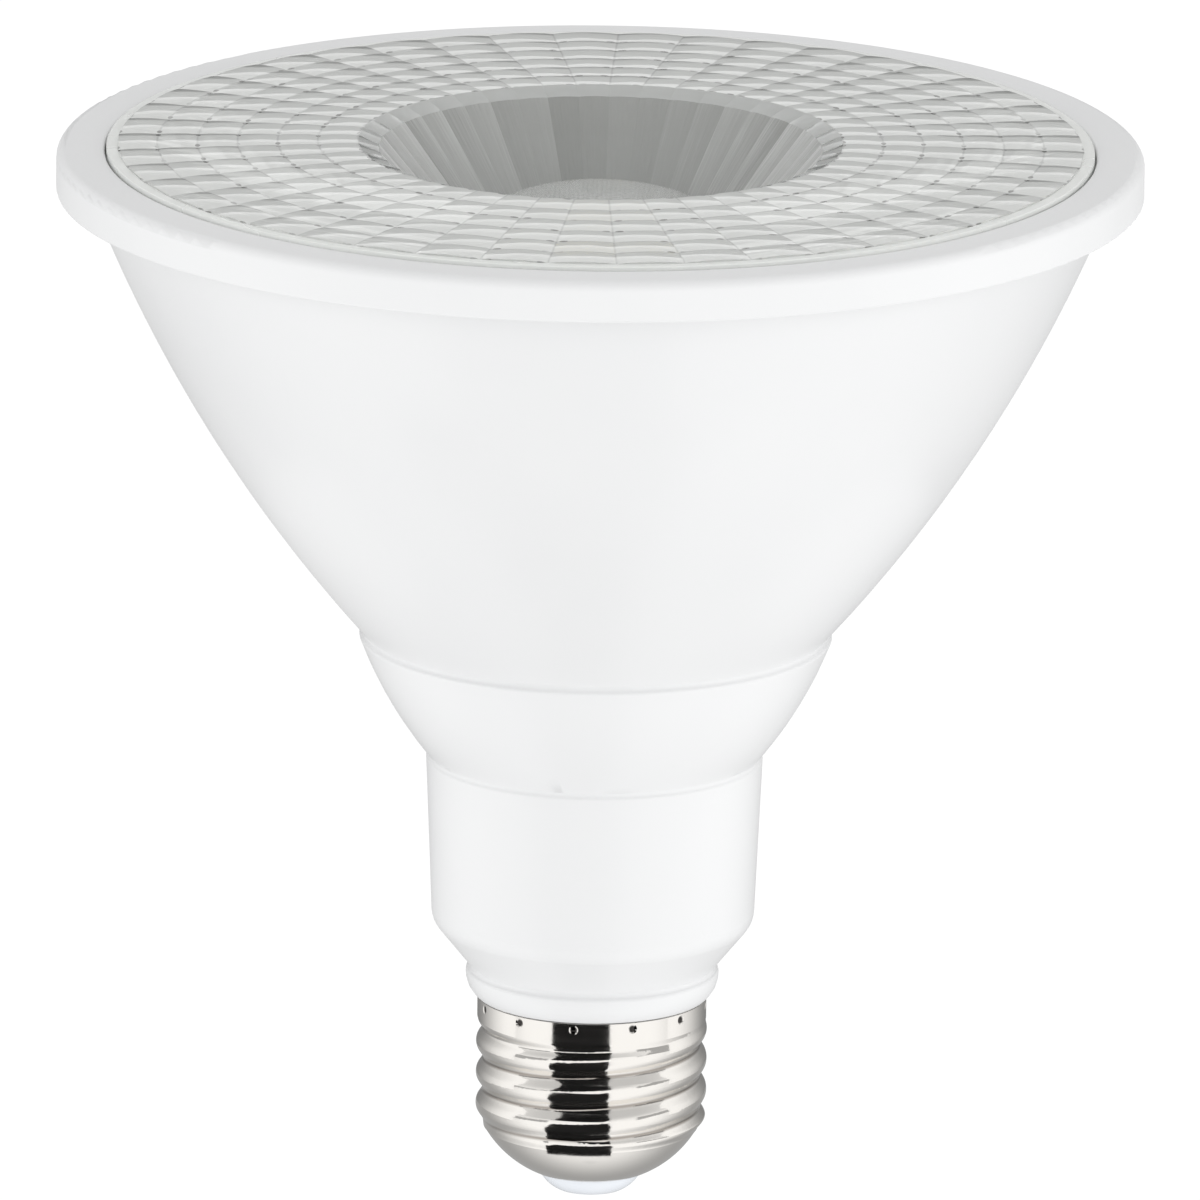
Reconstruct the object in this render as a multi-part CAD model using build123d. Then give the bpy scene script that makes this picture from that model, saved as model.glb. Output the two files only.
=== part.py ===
from build123d import *
import math
import os

# A reflector-shaped LED spot lamp, base down, in millimetres.
# The lamp's axis is Z, and the tip of its centre contact is the origin.

# Heights along the axis, from the contact's tip upwards
BASE_HEIGHT = 23.1
COLLAR_HEIGHT = 2.9
TAPER_HEIGHT = 6.0
NECK_HEIGHT = 18.8
CUP_HEIGHT = 14.3
BOWL_HEIGHT = 51.4
TRIM_HEIGHT = 4.6

# Outer radii of the white housing
COLLAR_FOOT_R = 13.1
COLLAR_R = 14.3
COLLAR_STRAIGHT = 0.4
COLLAR_CURVE_R = 3.2
TAPER_STEP = 0.6
NECK_FOOT_R = 18.2
NECK_TOP_R = 19.0
NECK_FILLET = 3.0
CUP_STEP = 0.3
CUP_TOP_R = 26.7
CUP_CURVE_R = 48.0
BOWL_STEP = 0.6
RIM_STEP = 1.9
BOWL_CURVE_R = 170.0
LEDGE_RISE = 0.45
LEDGE_EDGE_FILLET = 0.35
LEDGE_CORNER_FILLET = 0.4
HOUSING_WALL = 1.8

# Trim ring that clamps the lens to the housing
TRIM_R = 61.0
TRIM_FACE = 5.4
TRIM_TOP_WALL = 1.5
TRIM_SKIRT_WALL = 1.6
TRIM_TOP_FILLET = 1.1
TRIM_EDGE_FILLET = 0.3

# Lens: a flanged solid optic with a grid of pillows round an open well
LENS_FLANGE = 2.2
LENS_FLANGE_HEIGHT = 2.0
LENS_PROUD = 0.4
SECTORS = 45
RINGS = 6
GRID_BORDER = 1.2
GRID_INNER_R = 27.2
GRID_RISE = 0.6
PILLOW_CURVE_R = 33.0
MOUTH_R = 25.0
MOUTH_DROP = 0.28
WELL_FLOOR_R = 13.5
WELL_DEPTH = 13.5
FLUTE_SLOPE = 0.2
DOME_R = 11.0
DOME_FOOT_R = 12.0
DOME_EDGE_DEPTH = 6.6
DOME_RISE = 2.0
BACK_BORDER = 4.4
BACK_FOOT_R = 13.5
BACK_HEIGHT = 30.0
BACK_CURVE_R = 140.0
CAVITY_FOOT_R = 11.0
CAVITY_TOP_R = 10.0
CAVITY_HEIGHT = 9.9
CAVITY_BULGE = 3.0

# Screw shell: rolled sheet with a rounded single-start thread, right-handed
THREAD_CREST_R = 13.05
THREAD_DEPTH = 0.75
THREAD_FULLNESS = 0.3
THREAD_PITCH = 3.629
THREAD_FOOT = 9.0
THREAD_HEIGHT = 10.0
THREAD_RUNOUT = 1.4
THREAD_START_ANGLE = 66.7
THREAD_SECTORS = 12
THREAD_ROWS = 4
ROLL_STEP = 0.05
BAND_R = 12.95
SHELL_WALL = 0.3
SHELL_FOOT_R = 12.1
SHELL_MOUTH_R = 6.6
SHELL_MOUTH_HEIGHT = 2.6
SHELL_CURVE_R = 12.0
STAKES = 12
STAKE_R = 0.9
STAKE_DEPTH = 0.18
STAKE_DROP = 0.9
STAKE_FIRST_ANGLE = -99.0

# Plastic neck inside the shell, insulator and centre contact
SPIGOT_FOOT = 8.2
SPIGOT_WALL = 1.6
NOSE_TIP_R = 3.9
NOSE_CURVE_R = 4.0
NOSE_TIP_HEIGHT = 0.35
PLUG_TOP = 6.4
CONTACT_R = 2.8
CONTACT_HEAD = 0.7
CONTACT_EDGE = 0.3
CONTACT_SHANK_R = 2.0
CONTACT_TOP = 7.4

# Heat sink, its screws and the light source
PLATE_WALL = 2.0
SINK_WALL = 1.2
SINK_RIM_DROP = 10.0
BOSS_R = 3.2
BOSS_CIRCLE_R = 30.0
BOSS_DEPTH = 14.0
PILOT_DEPTH = 10.0
PLATE_SCREWS = 3
SCREW_R = 1.45
SCREW_HEAD_R = 2.8
SCREW_HEAD_HEIGHT = 2.0
SCREW_LENGTH = 10.0
RECESS_WIDTH = 0.8
RECESS_LENGTH = 3.2
RECESS_DEPTH = 1.0
CARRIER_SIDE = 15.0
CARRIER_HEIGHT = 1.0
EMITTER_R = 5.5
EMITTER_HEIGHT = 0.4
HOLDER_R = 16.5
HOLDER_HEIGHT = 2.4
HOLDER_WINDOW_R = 6.4
HOLDER_WINDOW_SPLAY = 2.2
HOLDER_EAR_R = 4.0
HOLDER_SCREW_R = 20.0
HOLDER_SCREW_LENGTH = 4.2

# Driver board and what is on it
BOARD_WALL = 1.6
BOARD_WIDTH = 29.0
BOARD_STAND = 2.5
BOARD_HEADROOM = 8.0
TONGUE_WIDTH = 17.0
TONGUE_FOOT = 13.0
RAIL_WALL = 1.4
RAIL_DEPTH = 2.4
RAIL_HEIGHT = 25.5
STOP_HEIGHT = 2.0
CORE_WIDTH = 16.0
CORE_DEPTH = 5.0
CORE_HEIGHT = 14.0
CORE_LEG = 3.4
BOBBIN_DEPTH = 12.0
BOBBIN_CORNER_R = 1.5
TRANSFORMER_RISE = 22.5
INPUT_CAP_R = 5.0
INPUT_CAP_LENGTH = 13.5
INPUT_CAP_RISE = 7.5
OUTPUT_CAP_R = 4.0
OUTPUT_CAP_LENGTH = 12.0
OUTPUT_CAP_X = -9.0
OUTPUT_CAP_RISE = 35.0
CAN_FILLET = 0.8
CAN_GROOVE_R = 0.4
CAN_GROOVE_HEIGHT = 2.0
FILM_WIDTH = 13.0
FILM_DEPTH = 7.0
FILM_HEIGHT = 10.0
FILM_RISE = 11.5
MOULD_CORNER_R = 0.4
CHOKE_R = 4.5
CHOKE_LENGTH = 9.0
CHOKE_WINDING_R = 3.8
CHOKE_CHEEK = 1.2
CHOKE_RISE = 28.5
BRIDGE_WIDTH = 6.5
BRIDGE_DEPTH = 2.6
BRIDGE_HEIGHT = 5.0
BRIDGE_RISE = 15.0
CHIP_WIDTH = 5.0
CHIP_DEPTH = 1.6
CHIP_HEIGHT = 4.0
CHIP_X = -7.0
CHIP_RISE = 21.5
FUSE_R = 1.7
FUSE_LENGTH = 8.0
FUSE_NECK_R = 1.3
FUSE_END = 2.0
FUSE_RISE = 9.0

# Insulated leads
LEAD_R = 0.5
LEAD_BEND_R = 3.0
LED_LEAD_X = (1.5, 5.5)
LED_LEAD_LAP = 5.0
LED_LEAD_DROP = 4.5
LED_LEAD_OUT = 20.5
SLOT_WIDTH = 5.0
NEUTRAL_LEAD_X = -5.0
NEUTRAL_LEAD_TOP = 18.0
NEUTRAL_LEAD_TURN = 7.3
NEUTRAL_LEAD_END = -10.8
LINE_LEAD_BENDS = (14.0, 10.5)

# Clearances
SEAT_GAP = 0.2
SLIDE_GAP = 0.15
SCREW_GAP = 0.05

# Places that follow from the sizes above
COLLAR_TOP = BASE_HEIGHT + COLLAR_HEIGHT
NECK_FOOT = COLLAR_TOP + TAPER_HEIGHT
CUP_FOOT = NECK_FOOT + NECK_HEIGHT
BOWL_FOOT = CUP_FOOT + CUP_HEIGHT
TRIM_FOOT = BOWL_FOOT + BOWL_HEIGHT
TRIM_TOP = TRIM_FOOT + TRIM_HEIGHT
TRIM_UNDERSIDE = TRIM_TOP - TRIM_TOP_WALL
SKIRT_INNER_R = TRIM_R - TRIM_SKIRT_WALL
RIM_R = SKIRT_INNER_R - SEAT_GAP
RIM_TOP = TRIM_UNDERSIDE - SEAT_GAP
BOWL_TOP_R = RIM_R - RIM_STEP
BOWL_FOOT_R = CUP_TOP_R - BOWL_STEP
CUP_FOOT_R = NECK_TOP_R - CUP_STEP
TAPER_FOOT_R = COLLAR_R - TAPER_STEP
LENS_R = TRIM_R - TRIM_FACE - SEAT_GAP
GRID_R = LENS_R - GRID_BORDER
BACK_TOP_R = LENS_R - BACK_BORDER
LENS_FLANGE_R = LENS_R + LENS_FLANGE
LENS_SEAT = TRIM_UNDERSIDE - LENS_FLANGE_HEIGHT
LENS_TOP = TRIM_TOP + LENS_PROUD
BACK_FOOT = LENS_SEAT - BACK_HEIGHT
WELL_FLOOR = LENS_TOP - WELL_DEPTH
PLATE_TOP = BACK_FOOT - HOLDER_HEIGHT - SEAT_GAP
PLATE_FOOT = PLATE_TOP - PLATE_WALL
THREAD_TOP = THREAD_FOOT + THREAD_HEIGHT
THREAD_MEAN_R = THREAD_CREST_R - THREAD_DEPTH / 2
SPIGOT_BAND_R = BAND_R - SHELL_WALL - SLIDE_GAP
SPIGOT_THREAD_R = THREAD_CREST_R - THREAD_DEPTH - SHELL_WALL - SLIDE_GAP
SPIGOT_STEP = THREAD_TOP + THREAD_RUNOUT
SHELL_FOOT = THREAD_FOOT - THREAD_RUNOUT
SHELL_TOP = BASE_HEIGHT - SEAT_GAP
BOARD_FACE = BOARD_WALL / 2
BOARD_FOOT = NECK_FOOT + BOARD_STAND
BOARD_TOP = PLATE_FOOT - BOARD_HEADROOM
RAIL_TOP = BOARD_FOOT + RAIL_HEIGHT
TRANSFORMER_Z = BOARD_FOOT + TRANSFORMER_RISE
INPUT_CAP_Z = BOARD_FOOT + INPUT_CAP_RISE
OUTPUT_CAP_Z = BOARD_FOOT + OUTPUT_CAP_RISE
FILM_Z = BOARD_FOOT + FILM_RISE
CHOKE_Z = BOARD_FOOT + CHOKE_RISE
CHIP_Z = BOARD_FOOT + CHIP_RISE
BRIDGE_Z = TONGUE_FOOT + BRIDGE_RISE
FUSE_Z = TONGUE_FOOT + FUSE_RISE
LED_LEAD_FOOT = BOARD_TOP - LED_LEAD_LAP
LED_LEAD_TURN = PLATE_FOOT - LED_LEAD_DROP


def arc_centre(start, end, radius):
    """Centre of the arc from start down to end that bulges away from the axis."""
    middle_r = (start[0] + end[0]) / 2
    middle_z = (start[1] + end[1]) / 2
    run = math.hypot(start[0] - end[0], start[1] - end[1])
    back = math.sqrt(radius**2 - (run / 2) ** 2)
    normal_r = (start[1] - end[1]) / run
    normal_z = (end[0] - start[0]) / run
    return (middle_r - back * normal_r, middle_z - back * normal_z)


def bulge(start, end, radius):
    """Arc from start down to end that bulges away from the axis."""
    centre = arc_centre(start, end, radius)
    middle = ((start[0] + end[0]) / 2 - centre[0], (start[1] + end[1]) / 2 - centre[1])
    reach = radius / math.hypot(*middle)
    crown = (centre[0] + middle[0] * reach, centre[1] + middle[1] * reach)
    return ThreePointArc(start, crown, end)


def inset(point, start, end, radius, wall):
    """Point moved by the wall towards the centre of the arc that it lies on."""
    centre = arc_centre(start, end, radius)
    share = 1 - wall / math.hypot(point[0] - centre[0], point[1] - centre[1])
    return (centre[0] + (point[0] - centre[0]) * share, centre[1] + (point[1] - centre[1]) * share)


def arc_radius(start, end, radius, height, wall):
    """Distance from the axis, at a height, of the arc moved inwards by the wall."""
    centre = arc_centre(start, end, radius)
    return centre[0] + math.sqrt((radius - wall) ** 2 - (height - centre[1]) ** 2)


def cap(edge, apex):
    """Arc from the edge of a spherical cap to its apex on the axis."""
    rise = apex[1] - edge[1]
    radius = (edge[0] ** 2 + rise**2) / (2 * abs(rise))
    half = math.asin(edge[0] / radius) / 2
    sink = math.copysign(radius * (1 - math.cos(half)), rise)
    return ThreePointArc(edge, (radius * math.sin(half), apex[1] - sink), apex)


def turned(*lines):
    """Solid of revolution about Z from the closed outline in r and z."""
    return revolve(Plane.XZ * make_face(Curve() + list(lines)), Axis.Z)


def turned_outline(*points):
    """Solid of revolution about Z from the closed straight-sided outline."""
    return revolve(Plane.XZ * make_face(Polyline(*points, close=True)), Axis.Z)


def drum(radius, foot, top, x=0.0, y=0.0):
    """Upright cylinder between two heights."""
    return Pos(x, y, (foot + top) / 2) * Cylinder(radius, top - foot)


def block(low, high):
    """Box between two corners."""
    size = [b - a for a, b in zip(low, high)]
    middle = [(a + b) / 2 for a, b in zip(low, high)]
    return Pos(*middle) * Box(*size)


def polar(radius, angle):
    """Plan position on a circle about the axis, the angle in degrees."""
    return (radius * math.cos(math.radians(angle)), radius * math.sin(math.radians(angle)))


# Corners of the housing's outline that its outside and its inside share
BOWL_TOP_POINT = (BOWL_TOP_R, TRIM_FOOT)
BOWL_FOOT_POINT = (BOWL_FOOT_R, BOWL_FOOT + LEDGE_RISE)
CUP_TOP_POINT = (CUP_TOP_R, BOWL_FOOT)
CUP_FOOT_POINT = (CUP_FOOT_R, CUP_FOOT + LEDGE_RISE)
NECK_TOP_POINT = (NECK_TOP_R, CUP_FOOT)
TAPER_FOOT_POINT = (TAPER_FOOT_R, COLLAR_TOP + LEDGE_RISE)
COLLAR_TOP_POINT = (COLLAR_R, COLLAR_TOP)


def edges_at(body, *points):
    """Round edges of a turned body through these points of its outline."""
    circles = body.edges().filter_by(GeomType.CIRCLE)
    return [e for e in circles for r, z in points if abs(e.radius - r) + abs(e.center().Z - z) < 0.01]


def housing_envelope():
    """Outside of the housing as a full solid, with its three sloping ledges."""
    neck_foot = (NECK_FOOT_R, NECK_FOOT)
    collar_side = (COLLAR_R, COLLAR_TOP - COLLAR_STRAIGHT)
    collar_foot = (COLLAR_FOOT_R, BASE_HEIGHT)
    body = turned(
        Polyline((0, RIM_TOP), (RIM_R, RIM_TOP), (RIM_R, TRIM_FOOT), BOWL_TOP_POINT),
        bulge(BOWL_TOP_POINT, BOWL_FOOT_POINT, BOWL_CURVE_R),
        Line(BOWL_FOOT_POINT, CUP_TOP_POINT),
        bulge(CUP_TOP_POINT, CUP_FOOT_POINT, CUP_CURVE_R),
        Polyline(CUP_FOOT_POINT, NECK_TOP_POINT, neck_foot, TAPER_FOOT_POINT, COLLAR_TOP_POINT, collar_side),
        bulge(collar_side, collar_foot, COLLAR_CURVE_R),
        Polyline(collar_foot, (0, BASE_HEIGHT), (0, RIM_TOP)),
    )
    body = fillet(edges_at(body, neck_foot), NECK_FILLET)
    ledge_edges = edges_at(body, CUP_TOP_POINT, NECK_TOP_POINT, COLLAR_TOP_POINT)
    body = fillet(ledge_edges, LEDGE_EDGE_FILLET)
    ledge_corners = edges_at(body, BOWL_FOOT_POINT, CUP_FOOT_POINT, TAPER_FOOT_POINT)
    return fillet(ledge_corners, LEDGE_CORNER_FILLET)


def housing_cavity():
    """Inside of the housing, a wall away from its outside, from the lens seat to the neck."""
    bowl = (BOWL_TOP_POINT, BOWL_FOOT_POINT, BOWL_CURVE_R)
    cup = (CUP_TOP_POINT, CUP_FOOT_POINT, CUP_CURVE_R)
    bowl_top = inset(BOWL_TOP_POINT, *bowl, HOUSING_WALL)
    bowl_foot = inset(BOWL_FOOT_POINT, *bowl, HOUSING_WALL)
    cup_top = inset(CUP_TOP_POINT, *cup, HOUSING_WALL)
    cup_foot = inset(CUP_FOOT_POINT, *cup, HOUSING_WALL)
    bore_r = SPIGOT_THREAD_R - SPIGOT_WALL
    pocket_r = LENS_FLANGE_R + SEAT_GAP
    return turned(
        Polyline((0, RIM_TOP), (pocket_r, RIM_TOP), (pocket_r, LENS_SEAT)),
        Polyline((pocket_r, LENS_SEAT), (bowl_top[0], LENS_SEAT), bowl_top),
        bulge(bowl_top, bowl_foot, BOWL_CURVE_R - HOUSING_WALL),
        Line(bowl_foot, cup_top),
        bulge(cup_top, cup_foot, CUP_CURVE_R - HOUSING_WALL),
        Polyline(
            cup_foot,
            (NECK_FOOT_R - HOUSING_WALL, NECK_FOOT + HOUSING_WALL),
            (bore_r, COLLAR_TOP),
            (bore_r, SPIGOT_FOOT),
            (0, SPIGOT_FOOT),
            (0, RIM_TOP),
        ),
    )


def board_rails():
    """Two slotted rails that hold the driver board's edges, each with a stop under it."""
    slot = BOARD_WALL / 2 + SLIDE_GAP
    inner_x = BOARD_WIDTH / 2 - RAIL_DEPTH
    rails = Part()
    for side in (-1, 1):
        for face in (-1, 1):
            low = (side * inner_x, face * slot, BOARD_FOOT)
            high = (side * NECK_TOP_R, face * (slot + RAIL_WALL), RAIL_TOP)
            rails += block([min(a, b) for a, b in zip(low, high)], [max(a, b) for a, b in zip(low, high)])
        stop_x = sorted((side * inner_x, side * NECK_TOP_R))
        stop_y = slot + RAIL_WALL
        rails += block((stop_x[0], -stop_y, BOARD_FOOT - STOP_HEIGHT), (stop_x[1], stop_y, BOARD_FOOT))
    return rails


def plate_boss_places():
    """Plan positions of the heat sink's screws."""
    return [polar(BOSS_CIRCLE_R, 90 + 360 * i / PLATE_SCREWS) for i in range(PLATE_SCREWS)]


def housing():
    """White moulded shell from the lens seat down to the spigot inside the screw shell."""
    spigot = drum(SPIGOT_BAND_R, SPIGOT_STEP, BASE_HEIGHT) + drum(SPIGOT_THREAD_R, SPIGOT_FOOT, SPIGOT_STEP)
    envelope = housing_envelope()
    inside = board_rails()
    for x, y in plate_boss_places():
        inside += drum(BOSS_R, PLATE_FOOT - BOSS_DEPTH, PLATE_FOOT, x, y)
    body = envelope + spigot - housing_cavity() + (inside & envelope)
    for x, y in plate_boss_places():
        body -= drum(SCREW_R + SCREW_GAP, PLATE_FOOT - PILOT_DEPTH, PLATE_FOOT, x, y)
    return body


def trim_ring():
    """White ring over the rim of the housing, its top flange on the lens's flange."""
    mouth_r = LENS_R + SEAT_GAP
    ring = turned_outline(
        (mouth_r, TRIM_TOP),
        (TRIM_R, TRIM_TOP),
        (TRIM_R, TRIM_FOOT),
        (SKIRT_INNER_R, TRIM_FOOT),
        (SKIRT_INNER_R, TRIM_UNDERSIDE),
        (mouth_r, TRIM_UNDERSIDE),
    )
    top_edges = ring.edges().filter_by(GeomType.CIRCLE).filter_by_position(Axis.Z, TRIM_TOP, TRIM_TOP)
    ring = fillet(top_edges.sort_by(SortBy.RADIUS)[-1:], TRIM_TOP_FILLET)
    return fillet(edges_at(ring, (TRIM_R, TRIM_FOOT), (mouth_r, TRIM_TOP)), TRIM_EDGE_FILLET)


def grid_corner(row, sector):
    """Corner of the pillow grid: rows run from the well's mouth outwards."""
    angle = 360 * sector / SECTORS
    share = row / RINGS
    radius = GRID_INNER_R + (GRID_R - GRID_INNER_R) * share
    return Vector(*polar(radius, angle), LENS_TOP + GRID_RISE * (1 - share))


def crown(start, end, slope, direction):
    """Control point that raises the middle of an edge between two corners."""
    return (start + end) * 0.5 + direction * (slope * (end - start).length / 2)


def pillow_crown(start, end):
    """Control point of a pillow's edge, as steep at its ends as the pillow's curve."""
    slope = (end - start).length / (2 * PILLOW_CURVE_R)
    return crown(start, end, slope, Vector(0, 0, 1))


def pillow(row, sector):
    """One convex pillow of the grid, a biquadratic patch on its four corners."""
    corners = [[grid_corner(row + i, sector + j) for j in (0, 1)] for i in (0, 1)]
    sides = [pillow_crown(corners[0][j], corners[1][j]) for j in (0, 1)]
    ends = [pillow_crown(corners[i][0], corners[i][1]) for i in (0, 1)]
    centre = (corners[0][0] + corners[0][1] + corners[1][0] + corners[1][1]) * 0.25
    middle = (ends[0] + ends[1] + sides[0] + sides[1]) * 0.5 - centre
    return Face.make_bezier_surface(
        [
            [corners[0][0], ends[0], corners[0][1]],
            [sides[0], middle, sides[1]],
            [corners[1][0], ends[1], corners[1][1]],
        ]
    )


def well_corner(radius, height, sector):
    """Corner on one of the well's two polygons."""
    return Vector(*polar(radius, 360 * sector / SECTORS), height)


def well_normal(sector):
    """Direction out of the well's wall at the middle of a sector."""
    lean = math.atan2(WELL_DEPTH - MOUTH_DROP, MOUTH_R - WELL_FLOOR_R)
    x, y = polar(-math.sin(lean), 360 * (sector + 0.5) / SECTORS)
    return Vector(x, y, math.cos(lean))


def well_sector(sector):
    """Lip and fluted wall of the well over one sector."""
    mouth = LENS_TOP - MOUTH_DROP
    upper = [grid_corner(0, sector + j) for j in (0, 1)]
    lip = [well_corner(MOUTH_R, mouth, sector + j) for j in (0, 1)]
    floor = [well_corner(WELL_FLOOR_R, WELL_FLOOR, sector + j) for j in (0, 1)]
    upper_crown = pillow_crown(*upper)
    lip_crown = crown(*lip, FLUTE_SLOPE, well_normal(sector))
    floor_middle = (floor[0] + floor[1]) * 0.5
    band = Face.make_bezier_surface([[upper[0], upper_crown, upper[1]], [lip[0], lip_crown, lip[1]]])
    wall = Face.make_bezier_surface([[lip[0], lip_crown, lip[1]], [floor[0], floor_middle, floor[1]]])
    return [band, wall]


def grid_riser(sector):
    """Small upright face between the outermost pillow's edge and the flat border."""
    start = grid_corner(RINGS, sector)
    end = grid_corner(RINGS, sector + 1)
    arch = Bezier(start, pillow_crown(start, end), end)
    return Face(Wire([arch, Line(end, start)]))


def ring_face(outer, inner):
    """Flat face between two closed outlines."""
    return Face(outer, [inner])


def lens_back():
    """Turned faces of the lens: flange, curved reflecting back and cavity over the light source."""
    back_top = (BACK_TOP_R, LENS_SEAT)
    back_foot = (BACK_FOOT_R, BACK_FOOT)
    cavity_top = (CAVITY_TOP_R, BACK_FOOT + CAVITY_HEIGHT)
    cavity_low = (0, BACK_FOOT + CAVITY_HEIGHT - CAVITY_BULGE)
    body = turned(
        Polyline(
            (0, LENS_TOP),
            (LENS_R, LENS_TOP),
            (LENS_R, TRIM_UNDERSIDE),
            (LENS_FLANGE_R, TRIM_UNDERSIDE),
            (LENS_FLANGE_R, LENS_SEAT),
            back_top,
        ),
        bulge(back_top, back_foot, BACK_CURVE_R),
        Polyline(back_foot, (CAVITY_FOOT_R, BACK_FOOT), cavity_top),
        cap(cavity_top, cavity_low),
        Line(cavity_low, (0, LENS_TOP)),
    )
    return body.faces().sort_by(Axis.Z)[:-1]


def lens_dome():
    """Pedestal and shallow dome that stand in the middle of the well."""
    edge = (DOME_R, LENS_TOP - DOME_EDGE_DEPTH)
    top = (0, LENS_TOP - DOME_EDGE_DEPTH + DOME_RISE)
    body = turned(
        Polyline((0, WELL_FLOOR), (DOME_FOOT_R, WELL_FLOOR), edge),
        cap(edge, top),
        Line(top, (0, WELL_FLOOR)),
    )
    return body.faces().sort_by(Axis.Z)[1:]


def lens():
    """Clear optic: rings of pillows, a fluted well with a domed middle, and a curved back."""
    faces = []
    for sector in range(SECTORS):
        faces += [pillow(row, sector) for row in range(RINGS)]
        faces += well_sector(sector)
        faces.append(grid_riser(sector))
    grid_edge = Wire.make_polygon([grid_corner(RINGS, s) for s in range(SECTORS)])
    floor_edge = Wire.make_polygon([well_corner(WELL_FLOOR_R, WELL_FLOOR, s) for s in range(SECTORS)])
    border_edge = Wire.make_circle(LENS_R, Plane.XY.offset(LENS_TOP))
    dome_edge = Wire.make_circle(DOME_FOOT_R, Plane.XY.offset(WELL_FLOOR))
    faces.append(ring_face(border_edge, grid_edge))
    faces.append(ring_face(floor_edge, dome_edge))
    faces += lens_back()
    faces += lens_dome()
    return Solid(Shell(faces))


def ease(share):
    """Smooth step from 0 to 1."""
    share = min(max(share, 0), 1)
    return share**2 * (3 - 2 * share)


def thread_point(wall, angle, height):
    """Point on the thread: a wave with full crests that climbs a pitch each turn and fades at both ends."""
    foot_share = 1 - ease((height - SHELL_FOOT) / THREAD_RUNOUT)
    head_share = 1 - ease((SPIGOT_STEP - height) / THREAD_RUNOUT)
    foot_shift = (SHELL_FOOT_R + ROLL_STEP - THREAD_MEAN_R) * foot_share
    head_shift = (BAND_R - ROLL_STEP - THREAD_MEAN_R) * head_share
    crest = THREAD_START_ANGLE + 360 * (height - THREAD_FOOT) / THREAD_PITCH
    reach = THREAD_DEPTH / 2 * (1 - foot_share) * (1 - head_share)
    turn = math.radians(angle - crest)
    wave = reach * (math.cos(turn) + THREAD_FULLNESS * math.sin(turn) ** 2)
    return Vector(*polar(THREAD_MEAN_R + foot_shift + head_shift + wave - wall, angle), height)


def thread_control(wall, angle, height, turn, climb):
    """Control point of a patch, stepped off from one of its corners along the surface's slopes."""
    step = 1 / 1024  # of a degree and of a millimetre, to read the slopes over
    near = [[thread_point(wall, angle + i, height + j) for j in (-step, step)] for i in (-step, step)]
    around = (near[1][0] + near[1][1] - near[0][0] - near[0][1]) * (turn / (4 * step))
    upward = (near[0][1] + near[1][1] - near[0][0] - near[1][0]) * (climb / (4 * step))
    twist = (near[1][1] - near[1][0] - near[0][1] + near[0][0]) * (turn * climb / (4 * step**2))
    return thread_point(wall, angle, height) + around + upward + twist


def thread_patch(wall, sector, foot, top):
    """Bicubic patch of the thread over one sector, smooth with its neighbours."""
    steps = ((0, 0), (0, 1 / 3), (1, -1 / 3), (1, 0))
    turn = 360 / THREAD_SECTORS
    climb = top - foot
    controls = []
    for side, lean in steps:
        row = []
        for end, rise in steps:
            angle = turn * (sector + side)
            row.append(thread_control(wall, angle, foot + climb * end, turn * lean, climb * rise))
        controls.append(row)
    return Face.make_bezier_surface(controls)


def thread_levels():
    """Heights of the rows of patches, with a level at each end of the two run-outs."""
    row = THREAD_PITCH / THREAD_ROWS
    levels = [SHELL_FOOT]
    for top in (THREAD_FOOT, THREAD_TOP, SPIGOT_STEP):
        foot = levels[-1]
        count = math.ceil((top - foot) / row)
        levels += [foot + (top - foot) * (i + 1) / count for i in range(count)]
    return levels


def thread_column(wall):
    """Threaded stretch of the shell's outside, or of its inside when the wall is taken off."""
    levels = thread_levels()
    rows = []
    for foot, top in zip(levels, levels[1:]):
        rows.append([thread_patch(wall, i, foot, top) for i in range(THREAD_SECTORS)])
    foot_disc = Face(Wire([patch.edges().sort_by(Axis.Z)[0] for patch in rows[0]]))
    head_disc = Face(Wire([patch.edges().sort_by(Axis.Z)[-1] for patch in rows[-1]]))
    return Solid(Shell([*sum(rows, []), foot_disc, head_disc]))


def shell_form(wall):
    """Whole outside of the screw shell, or its inside when the wall is taken off."""
    foot = (SHELL_FOOT_R - wall, SHELL_FOOT)
    mouth = (SHELL_MOUTH_R - wall, SHELL_MOUTH_HEIGHT)
    end = turned(
        Polyline((0, mouth[1]), (0, foot[1]), foot),
        bulge(foot, mouth, SHELL_CURVE_R),
        Line(mouth, (0, mouth[1])),
    )
    return Part() + [thread_column(wall), drum(BAND_R - wall, SPIGOT_STEP, SHELL_TOP), end]


def screw_shell():
    """Nickel-plated screw shell with its rolled thread and staked upper edge."""
    shell = shell_form(0) - shell_form(SHELL_WALL)
    reach = BAND_R + STAKE_R - STAKE_DEPTH
    for i in range(STAKES):
        x, y = polar(reach, STAKE_FIRST_ANGLE + 360 * i / STAKES)
        shell -= Pos(x, y, BASE_HEIGHT - STAKE_DROP) * Sphere(STAKE_R)
    return shell


def plug_radius(height):
    """Outside of the insulator where it lies in the curved end of the screw shell."""
    foot = (SHELL_FOOT_R - SHELL_WALL, SHELL_FOOT)
    mouth = (SHELL_MOUTH_R - SHELL_WALL, SHELL_MOUTH_HEIGHT)
    return arc_radius(foot, mouth, SHELL_CURVE_R, height, SLIDE_GAP)


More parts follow.
